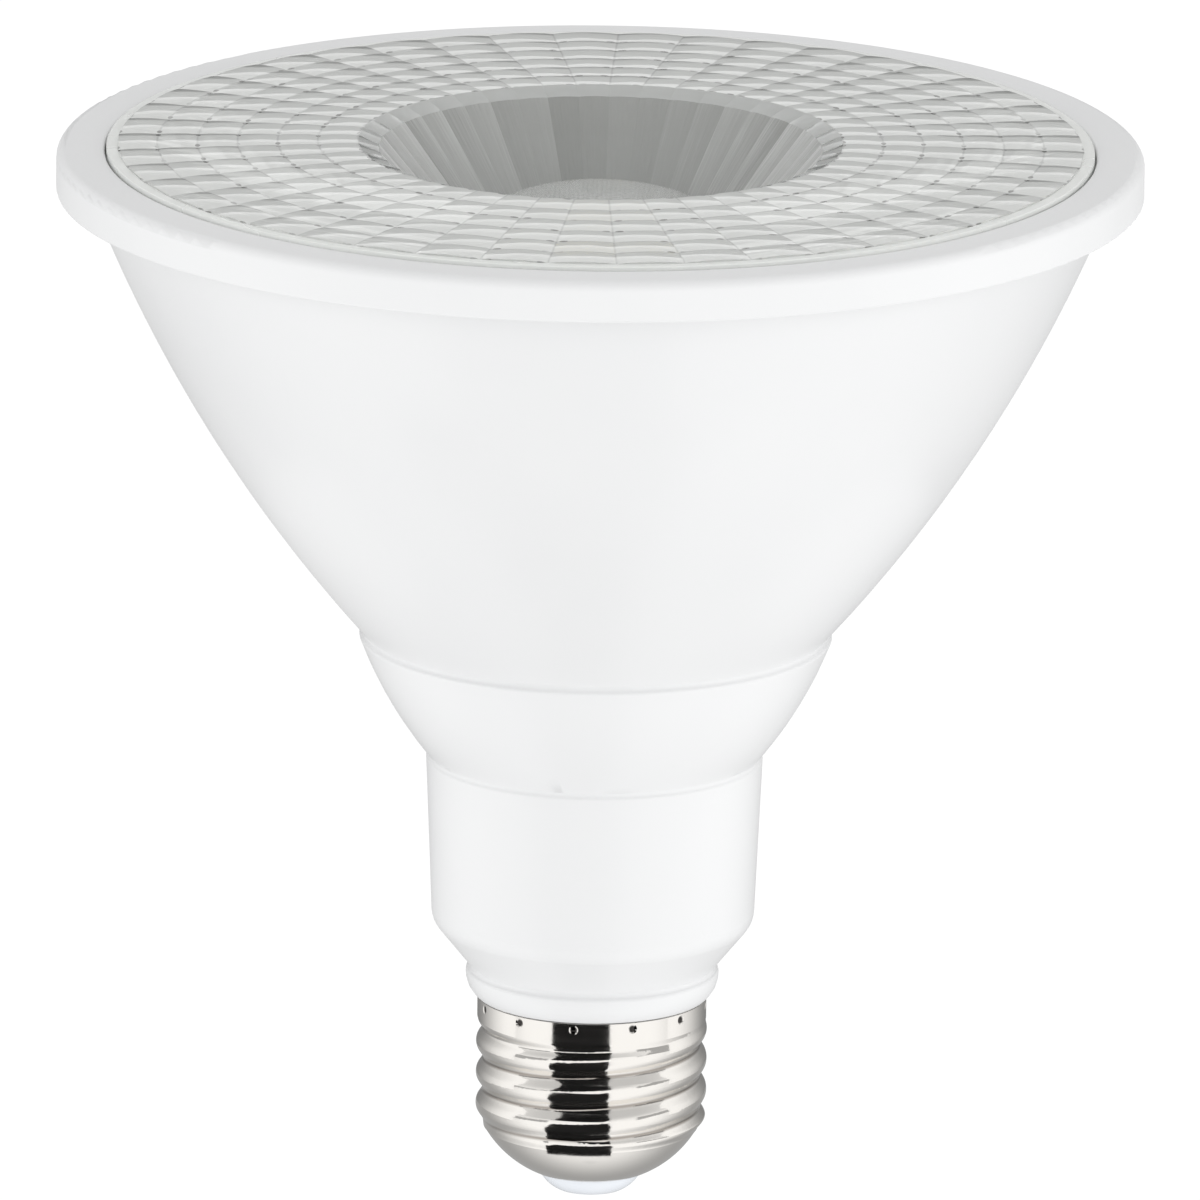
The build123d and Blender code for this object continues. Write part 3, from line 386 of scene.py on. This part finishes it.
def pillow_loops():
    """Loops of the pillow grid, from the well's brim to the border."""
    drop = GRID_RISE / RINGS
    across_lift = pillow_lift(math.hypot(PILLOW_WIDTH, drop))
    loops = []
    for k in range(RINGS * STEPS + 1):
        share = k / STEPS
        u = share % 1
        radius = GRID_INNER_R + PILLOW_WIDTH * share
        height = LENS_TOP + GRID_RISE - drop * share
        loop = chord_loop(radius, height, pillow_lift(2 * radius * math.sin(math.pi / SECTORS)))
        bump = Vector((0, 0, 2 * u * (1 - u) * across_lift))
        loops.append([p + bump for p in loop])
    return loops


def border_loops():
    """Loops of the plain border with its rounded edge, and of the flange."""
    loops = [chord_loop(GRID_R, LENS_TOP, 0.0)]
    for k in range(EDGE_STEPS + 1):
        turn = math.pi / 2 * k / EDGE_STEPS
        inset = LENS_EDGE_R * (1 - math.sin(turn))
        loops.append(ring(LENS_R - inset, LENS_TOP - LENS_EDGE_R * (1 - math.cos(turn))))
    loops.append(ring(LENS_R, FLANGE_TOP_Z))
    loops.append(ring(FLANGE_R, FLANGE_TOP_Z))
    loops.append(ring(FLANGE_R, FLANGE_FOOT_Z))
    return loops


def back_loops():
    """Loops of the curved back and of the cavity over the light source."""
    back = arc((BACK_TOP_R, FLANGE_FOOT_Z), (BACK_FOOT_R, BACK_FOOT_Z), BACK_CURVE_R, BACK_LOOPS)
    loops = [ring(r, z) for r, z in back]
    loops.append(ring(CAVITY_FOOT_R, BACK_FOOT_Z))
    for k in range(DOME_LOOPS):
        radius = CAVITY_TOP_R * (1 - k / DOME_LOOPS)
        loops.append(ring(radius, cap_height(radius, CAVITY_TOP_R, CAVITY_TOP_Z, CAVITY_LOW_Z)))
    loops.append([Vector((0, 0, CAVITY_LOW_Z))])
    return loops


def face_kind(radius, height):
    """Kind of the optic's face at a distance from the axis and a height."""
    if radius > MOUTH_R and height > FLANGE_TOP_Z:
        if radius > GRID_R:
            return BORDER
        return PILLOWS if radius > GRID_INNER_R else BAND
    if radius < DOME_R and height > DOME_EDGE_Z:
        return DOME
    if WELL_FLOOR_R < radius < MOUTH_R and height > WELL_FLOOR_Z:
        return WELL
    if radius < BACK_FOOT_R and height < CAVITY_TOP_Z:
        return CAVITY
    return CLEAR


def optic():
    """Clear optic: dome, fluted well, rings of pillows, border, flange, curved back and cavity."""
    pillows = pillow_loops()
    loops = dome_loops() + well_loops(pillows[0]) + pillows + border_loops() + back_loops()
    piece = loft("clear_optic", loops)
    for face in piece.data.polygons:
        face.material_index = face_kind(face.center.xy.length / MM, face.center.z / MM)
    for material in optic_finishes():
        piece.data.materials.append(material)
    return piece


# Shader nodes

def new_material(name):
    material = bpy.data.materials.new(name)
    material.use_nodes = True
    tree = material.node_tree
    return material, tree, tree.nodes["Principled BSDF"]


def set_values(bsdf, values):
    """Set plain numbers on sockets of a shader, by name."""
    for socket, value in values.items():
        bsdf.inputs[socket].default_value = value


def feed(tree, socket, value):
    """Link a socket to another one, or set it to a plain number or colour."""
    if isinstance(value, bpy.types.NodeSocket):
        tree.links.new(value, socket)
    elif isinstance(value, float):
        socket.default_value = value
    else:
        socket.default_value = (*value, 1)


def math_node(tree, operation, first, second=0.0):
    """One sum on sockets or plain numbers."""
    node = tree.nodes.new("ShaderNodeMath")
    node.operation = operation
    feed(tree, node.inputs[0], first)
    feed(tree, node.inputs[1], second)
    return node.outputs["Value"]


def spread(tree, value, span, levels, blend="SMOOTHSTEP"):
    """Change from the first level to the second while the value crosses the span."""
    node = tree.nodes.new("ShaderNodeMapRange")
    node.interpolation_type = blend
    node.inputs["From Min"].default_value = span[0]
    node.inputs["From Max"].default_value = span[1]
    tree.links.new(value, node.inputs["Value"])
    feed(tree, node.inputs["To Min"], levels[0])
    feed(tree, node.inputs["To Max"], levels[1])
    return node.outputs["Result"]


def lamp_axes(tree, names):
    """Sockets of a point's place on the named axes of the lamp's own frame, in millimetres."""
    place = tree.nodes.new("ShaderNodeTexCoord")
    axes = tree.nodes.new("ShaderNodeSeparateXYZ")
    tree.links.new(place.outputs["Object"], axes.inputs["Vector"])
    return [math_node(tree, "MULTIPLY", axes.outputs[name], 1 / MM) for name in names]


def radius_of(tree, x, y):
    """Socket of the distance across two sides."""
    squares = math_node(tree, "ADD", math_node(tree, "MULTIPLY", x, x), math_node(tree, "MULTIPLY", y, y))
    return math_node(tree, "SQRT", squares)


def object_noise(tree, scale, detail=3.0, stretch=(1, 1, 1)):
    """Socket of a noise in the lamp's own frame."""
    place = tree.nodes.new("ShaderNodeTexCoord")
    mapping = tree.nodes.new("ShaderNodeMapping")
    mapping.inputs["Scale"].default_value = stretch
    noise = tree.nodes.new("ShaderNodeTexNoise")
    noise.inputs["Scale"].default_value = scale
    noise.inputs["Detail"].default_value = detail
    tree.links.new(place.outputs["Object"], mapping.inputs["Vector"])
    tree.links.new(mapping.outputs["Vector"], noise.inputs["Vector"])
    return noise.outputs["Fac"]


def vary_colour(tree, bsdf, factor, first, second):
    """Base colour that mixes two, the first of which may be a socket. Gives the mix's socket."""
    mix = tree.nodes.new("ShaderNodeMix")
    mix.data_type = "RGBA"
    feed(tree, mix.inputs["A"], first)
    feed(tree, mix.inputs["B"], second)
    tree.links.new(factor, mix.inputs["Factor"])
    tree.links.new(mix.outputs["Result"], bsdf.inputs["Base Color"])
    return mix.outputs["Result"]


def vary_roughness(tree, bsdf, factor, rough):
    """Roughness across a span, from the middle part of a noise."""
    tree.links.new(spread(tree, factor, NOISE_SPAN, rough, "LINEAR"), bsdf.inputs["Roughness"])


def add_bump(tree, bsdf, height, depth):
    """Relief of that depth in millimetres."""
    bump = tree.nodes.new("ShaderNodeBump")
    bump.inputs["Strength"].default_value = 1.0
    bump.inputs["Distance"].default_value = depth * MM
    tree.links.new(height, bump.inputs["Height"])
    tree.links.new(bump.outputs["Normal"], bsdf.inputs["Normal"])


# Finishes of the optic

def clear_plastic(name, tint, rough, clarity=1.0):
    """Plastic with the faintest uneven gloss. Gives its material, nodes, shader and colour's socket."""
    material, tree, bsdf = new_material(name)
    cloud = object_noise(tree, PLASTIC_MOTTLE)
    colour = vary_colour(tree, bsdf, cloud, tint, [c * MOTTLE_SHADE for c in tint])
    vary_roughness(tree, bsdf, cloud, rough)
    bsdf.inputs["Transmission Weight"].default_value = clarity
    bsdf.inputs["IOR"].default_value = PLASTIC_IOR
    return material, tree, bsdf, colour


def dome_material():
    """Hazy plastic under a field of tiny dimples."""
    material, tree, bsdf = clear_plastic("dimpled_dome", DOME_TINT, DOME_ROUGH, DOME_CLARITY)[:3]
    place = tree.nodes.new("ShaderNodeTexCoord")
    dots = tree.nodes.new("ShaderNodeTexVoronoi")
    dots.inputs["Scale"].default_value = DIMPLE_SCALE
    dots.inputs["Randomness"].default_value = DIMPLE_SCATTER
    tree.links.new(place.outputs["Object"], dots.inputs["Vector"])
    add_bump(tree, bsdf, dots.outputs["Distance"], DIMPLE_DEPTH)
    return material


def pillow_material():
    """Hazy plastic with painted shade along the creases between the pillows and an uneven painted dark glint
    of refraction beside each corner.
    """
    material, tree, bsdf, colour = clear_plastic("hazy_pillows", HAZE_TINT, POLISH, PILLOW_CLARITY)
    add_bump(tree, bsdf, object_noise(tree, RIPPLE_SCALE, detail=1.0), RIPPLE_DEPTH)
    x, y = lamp_axes(tree, "XY")
    radius = radius_of(tree, x, y)
    from_brim = math_node(tree, "SUBTRACT", radius, GRID_INNER_R)
    across = math_node(tree, "PINGPONG", from_brim, PILLOW_WIDTH / 2)
    turn = math_node(tree, "PINGPONG", math_node(tree, "ARCTAN2", y, x), math.pi / SECTORS)
    along = math_node(tree, "MULTIPLY", turn, radius)
    beside = math_node(tree, "SUBTRACT", along, GLINT_SHIFT)
    shares = [1 / size for size in GLINT_SIZE]
    sides = [math_node(tree, "MULTIPLY", *pair) for pair in zip((across, beside), shares)]
    strength = spread(tree, object_noise(tree, GLINT_SCALE, detail=1.0), GLINT_SPAN, GLINT_LEVELS)
    glint = spread(tree, radius_of(tree, *sides), GLINT_EDGE, (0.0, strength))
    from_crease = math_node(tree, "MINIMUM", across, along)
    crease_shade = spread(tree, from_crease, (CREASE_SHADE_WIDTH, 0.0), (0.0, CREASE_SHADE_LEVEL))
    # Painted dark glints and painted crease shade, mixed into the base colour
    vary_colour(tree, bsdf, math_node(tree, "MAXIMUM", glint, crease_shade), colour, GLINT_AND_CREASE_SHADE_TINT)
    return material


def well_streaks(tree):
    """Socket of a noise that is drawn out into streaks down the well."""
    x, y, z = lamp_axes(tree, "XYZ")
    radius = radius_of(tree, x, y)
    around = tree.nodes.new("ShaderNodeCombineXYZ")
    for socket, axis in zip(around.inputs, (x, y)):
        share = math_node(tree, "DIVIDE", axis, radius)
        tree.links.new(math_node(tree, "MULTIPLY", share, WELL_STREAKS), socket)
    tree.links.new(math_node(tree, "MULTIPLY", z, STREAK_CLIMB), around.inputs["Z"])
    streaks = tree.nodes.new("ShaderNodeTexNoise")
    streaks.inputs["Scale"].default_value = 1.0
    tree.links.new(around.outputs["Vector"], streaks.inputs["Vector"])
    return streaks.outputs["Fac"]


def painted_flute_highlights(tree):
    """Socket of a level from 0 to 1 for each flute of the well, for its painted highlight."""
    x, y = lamp_axes(tree, "XY")
    turns = math_node(tree, "MULTIPLY", math_node(tree, "ARCTAN2", y, x), SECTORS / (2 * math.pi))
    shade = tree.nodes.new("ShaderNodeTexWhiteNoise")
    shade.noise_dimensions = "1D"
    tree.links.new(math_node(tree, "FLOOR", turns), shade.inputs["W"])
    return shade.outputs["Value"]


def well_material():
    """Hazy plastic painted grey as painted shade for the dim inside seen through the wall, with fine streaks
    down the wall, and each flute painted a little lighter or darker as painted highlight streaks.
    """
    material, tree, bsdf, colour = clear_plastic("fluted_well", WELL_SHADE_TINT, POLISH, WALL_CLARITY)
    # Each flute painted lighter by a random share: painted highlight streaks
    vary_colour(tree, bsdf, painted_flute_highlights(tree), colour, FLUTE_HIGHLIGHT_TINT)
    add_bump(tree, bsdf, well_streaks(tree), STREAK_DEPTH)
    bsdf.inputs["Sheen Weight"].default_value = WELL_SHEEN
    bsdf.inputs["Sheen Roughness"].default_value = WELL_SHEEN_ROUGH
    return material


def optic_finishes():
    """Finishes of the optic's faces, in the order of their kinds."""
    return [
        clear_plastic("clear_lens", LENS_TINT, POLISH)[0],
        clear_plastic("bright_band", HAZE_TINT, POLISH, BAND_CLARITY)[0],
        pillow_material(),
        clear_plastic("hazy_border", HAZE_TINT, BORDER_ROUGH, BORDER_CLARITY)[0],
        dome_material(),
        well_material(),
        clear_plastic("frosted_cavity", LENS_TINT, CAVITY_ROUGH)[0],
    ]


# Finishes of the frame's nodes

def surface(name, first, second, rough, mottle, grain, depth):
    """Finish with two close colours, uneven gloss and a fine grain."""
    material, tree, bsdf = new_material(name)
    cloud = object_noise(tree, mottle)
    vary_colour(tree, bsdf, cloud, first, second)
    vary_roughness(tree, bsdf, cloud, rough)
    add_bump(tree, bsdf, object_noise(tree, grain, detail=2.0), depth)
    set_values(bsdf, FINISH_VALUES.get(name, {}))
    return material


def thread_root_shade(tree):
    """Socket that is 1 in the roots of the shell's thread and 0 elsewhere, where shade is painted."""
    x, y, z = lamp_axes(tree, "XYZ")
    angle = math_node(tree, "SUBTRACT", math_node(tree, "ARCTAN2", y, x), THREAD_START_ANGLE)
    turns = math_node(tree, "MULTIPLY", angle, 1 / (2 * math.pi))
    climb = math_node(tree, "MULTIPLY", math_node(tree, "SUBTRACT", z, THREAD_FOOT), 1 / THREAD_PITCH)
    from_crest = math_node(tree, "PINGPONG", math_node(tree, "SUBTRACT", turns, climb), 0.5)
    root = spread(tree, from_crest, ROOT_SPAN, (0.0, 1.0))
    foot = spread(tree, z, (THREAD_FOOT - THREAD_FADE, THREAD_FOOT), (0.0, 1.0))
    head = spread(tree, z, (THREAD_TOP + THREAD_FADE, THREAD_TOP), (0.0, 1.0))
    return math_node(tree, "MULTIPLY", root, math_node(tree, "MULTIPLY", foot, head))


def stake_pit_shade(tree):
    """Socket that is 1 in the middle of each stake at the shell's upper edge and 0 elsewhere, where shade is
    painted.
    """
    x, y, z = lamp_axes(tree, "XYZ")
    angle = math_node(tree, "SUBTRACT", math_node(tree, "ARCTAN2", y, x), STAKE_FIRST_ANGLE)
    along = math_node(tree, "MULTIPLY", math_node(tree, "PINGPONG", angle, math.pi / STAKES), SHELL_BAND_R)
    away = radius_of(tree, along, math_node(tree, "SUBTRACT", z, STAKE_Z))
    return spread(tree, away, (STAKE_PIT_R, STAKE_PIT_CORE_R), (0.0, 1.0))


def nickel():
    """Polished nickel with faint rolling marks round the shell, painted shade in the thread's roots and
    painted shade in the stakes' pits.
    """
    material, tree, bsdf = new_material("shell_nickel")
    marks = object_noise(tree, ROLL_SCALE, detail=2.0, stretch=ROLL_STRETCH)
    plate = vary_colour(tree, bsdf, object_noise(tree, NICKEL_MOTTLE), *NICKEL_TINTS)
    # Painted shade in the thread's roots
    root_shaded = vary_colour(tree, bsdf, thread_root_shade(tree), plate, ROOT_SHADE_TINT)
    # Painted shade in the stakes' pits
    vary_colour(tree, bsdf, stake_pit_shade(tree), root_shaded, STAKE_SHADE_TINT)
    vary_roughness(tree, bsdf, marks, NICKEL_ROUGH)
    add_bump(tree, bsdf, marks, ROLL_DEPTH)
    bsdf.inputs["Metallic"].default_value = 1.0
    return material


def brushed_aluminium(name, rough):
    """Aluminium brushed in fine rings about the axis."""
    material, tree, bsdf = new_material(name)
    place = tree.nodes.new("ShaderNodeTexCoord")
    rings = tree.nodes.new("ShaderNodeTexWave")
    rings.wave_type = "RINGS"
    rings.rings_direction = "Z"
    rings.inputs["Scale"].default_value = BRUSH_SCALE
    rings.inputs["Distortion"].default_value = BRUSH_WANDER
    tree.links.new(place.outputs["Object"], rings.inputs["Vector"])
    vary_colour(tree, bsdf, rings.outputs["Fac"], *ALUMINIUM_TINTS)
    vary_roughness(tree, bsdf, rings.outputs["Fac"], rough)
    add_bump(tree, bsdf, rings.outputs["Fac"], BRUSH_DEPTH)
    bsdf.inputs["Metallic"].default_value = 1.0
    return material


def dress(node, material):
    """Give a node of the frame its finish."""
    mesh = nodes[node].data
    mesh.materials.clear()
    mesh.materials.append(material)


def dress_nodes():
    """Give every node but the lens, which the optic stands for, its finish."""
    dress("screw_shell", nickel())
    dress("heat_sink", brushed_aluminium("sink_aluminium", SINK_ROUGH))
    dress("led_carrier", brushed_aluminium("carrier_aluminium", CARRIER_ROUGH))
    for name, finish in FINISHES.items():
        material = surface(name, *finish)
        for node in FINISH_NODES[name]:
            dress(node, material)


# Studio

def look_at(location, target):
    """Matrix of a light or camera at a place, looking at another, in millimetres."""
    here = Vector(location) * MM
    turn = (Vector(target) * MM - here).to_track_quat("-Z", "Y")
    return Matrix.Translation(here) @ turn.to_matrix().to_4x4()


def show_only(piece, *kinds):
    """Let only these kinds of ray see a piece of the studio."""
    for kind in ("camera", "diffuse", "glossy", "transmission", "volume_scatter", "shadow"):
        setattr(piece, f"visible_{kind}", kind in kinds)


def studio_material(name, mottle, greys):
    """Dark material of a floor or card, in two close greys, that may glow white."""
    material, tree, bsdf = new_material(name)
    vary_colour(tree, bsdf, object_noise(tree, mottle), *[(grey, grey, grey) for grey in greys])
    bsdf.inputs["Emission Color"].default_value = WHITE
    return material, tree, bsdf


def bend(angles, outline, steps=CARD_STEPS):
    """Rows of points that turn an outline of radii and heights about the lamp's axis, between two angles."""
    first, last = (math.radians(a) for a in angles)
    turns = [first + (last - first) * i / steps for i in range(steps + 1)]
    return [[polar(r, a, z) for a in turns] for r, z in outline]


def sheet(name, rows, material):
    """Piece of the studio through rows of points in millimetres."""
    bm = bmesh.new()
    rows = [[bm.verts.new(p * MM) for p in row] for row in rows]
    for low, high in zip(rows, rows[1:]):
        for i in range(len(low) - 1):
            bm.faces.new((low[i], low[i + 1], high[i + 1], high[i]))
    mesh = bpy.data.meshes.new(name)
    bm.to_mesh(mesh)
    bm.free()
    mesh.materials.append(material)
    piece = add_object(name, mesh)
    return piece


def studio_floor():
    """White floor that glows, as a light table does."""
    material, _, bsdf = studio_material("floor_white", WIDE_MOTTLE, FLOOR_GREYS)
    set_values(bsdf, FLOOR_VALUES)
    bsdf.inputs["Emission Strength"].default_value = FLOOR_GLOW
    floor = sheet("studio_floor", bend((0, 360), [(0.0, 0.0), (FLOOR_R, 0.0)], FLOOR_STEPS), material)
    show_only(floor, "camera")


def black_flags():
    """Dark cards in front of the lamp, on the floor and over it, for the dark stripe in the shell."""
    material, _, bsdf = studio_material("flag_black", CARD_MOTTLE, FLAG_GREYS)
    set_values(bsdf, FLAG_VALUES)
    low = [(r, CARD_FOOT) for r in FLAG_REACH]
    high = [(CARD_R, z) for z in FLAG_SPAN]
    for name, outline in (("low_flag", low), ("high_flag", high)):
        show_only(sheet(name, bend(FLAG_ANGLES, outline), material), "glossy")


def bounce_card():
    """Pale card round the back of the base, dimmer behind, for the shell's light parts."""
    material, tree, bsdf = studio_material("card_pale", CARD_MOTTLE, CARD_GREYS)
    depth = lamp_axes(tree, "Y")[0]
    tree.links.new(spread(tree, depth, BOUNCE_FADE, BOUNCE_GLOW), bsdf.inputs["Emission Strength"])
    card = sheet("bounce_card", bend(BOUNCE_ANGLES, [(CARD_R, z) for z in BOUNCE_SPAN]), material)
    show_only(card, "glossy")


def belt_cards():
    """Dim belts low down at both sides of the studio, for the lens as it is seen from the sides."""
    material, _, bsdf = studio_material("belt_grey", WIDE_MOTTLE, CARD_GREYS)
    bsdf.inputs["Emission Strength"].default_value = BELT_GLOW
    outline = [(BELT_R, LENS_TOP + BELT_R * math.tan(math.radians(e))) for e in BELT_ELEVATIONS]
    for name, angles in BELT_ANGLES.items():
        show_only(sheet(name, bend(angles, outline), material), "glossy")


def light_tent():
    """Soft light from all round: white above, bright in front, and a dim belt low down behind the lamp."""
    world = bpy.data.worlds.new("light_tent")
    world.use_nodes = True
    tree = world.node_tree
    place = tree.nodes.new("ShaderNodeTexCoord")
    axes = tree.nodes.new("ShaderNodeSeparateXYZ")
    tree.links.new(place.outputs["Generated"], axes.inputs["Vector"])
    behind = 0.0
    for elevation, softness, level in TENT_LAYERS:
        foot = math.sin(math.radians(elevation))
        behind = spread(tree, axes.outputs["Z"], (foot - softness, foot + softness), (behind, level))
    ahead = spread(tree, axes.outputs["Z"], FRONT_RISE, FRONT_LEVELS)
    back = tree.nodes["Background"]
    back.inputs["Color"].default_value = WHITE
    tree.links.new(spread(tree, axes.outputs["Y"], FRONT_SPAN, (behind, ahead)), back.inputs["Strength"])
    scene.world = world


def softbox(name, location, power):
    """Light from one side that no reflection shows."""
    lamp = bpy.data.lights.new(name, "AREA")
    lamp.shape = "RECTANGLE"
    lamp.size = SOFTBOX_SIZE[0] * MM
    lamp.size_y = SOFTBOX_SIZE[1] * MM
    lamp.energy = power
    box = add_object(name, lamp)
    box.matrix_world = look_at(location, SOFTBOX_TARGET)
    show_only(box, "diffuse", "shadow")


def studio():
    """Floor, cards and lights."""
    studio_floor()
    black_flags()
    bounce_card()
    belt_cards()
    light_tent()
    for name, (location, power) in SOFTBOXES.items():
        softbox(name, location, power)


def camera():
    """Camera at the photograph's viewing angle."""
    lens = bpy.data.cameras.new("camera")
    lens.sensor_width = SENSOR_WIDTH
    lens.lens = SENSOR_WIDTH * CAMERA_DISTANCE / FRAME_WIDTH
    lens.clip_end = CAMERA_REACH
    view = add_object("camera", lens)
    target = Vector(CAMERA_TARGET)
    back = Vector((0, -math.cos(CAMERA_ELEVATION), math.sin(CAMERA_ELEVATION))) * CAMERA_DISTANCE
    view.matrix_world = look_at(target + back, target) @ Matrix.Rotation(CAMERA_ROLL, 4, "Z")
    scene.camera = view


def render_settings():
    scene.view_settings.view_transform = "Standard"
    scene.view_settings.look = "None"
    scene.cycles.max_bounces = LIGHT_BOUNCES
    scene.cycles.transmission_bounces = LIGHT_BOUNCES
    scene.cycles.glossy_bounces = GLOSSY_BOUNCES
    scene.cycles.use_denoising = True


dress_nodes()

clear_optic = optic()
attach(clear_optic, "root")
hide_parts("lens")

studio()
camera()
render_settings()
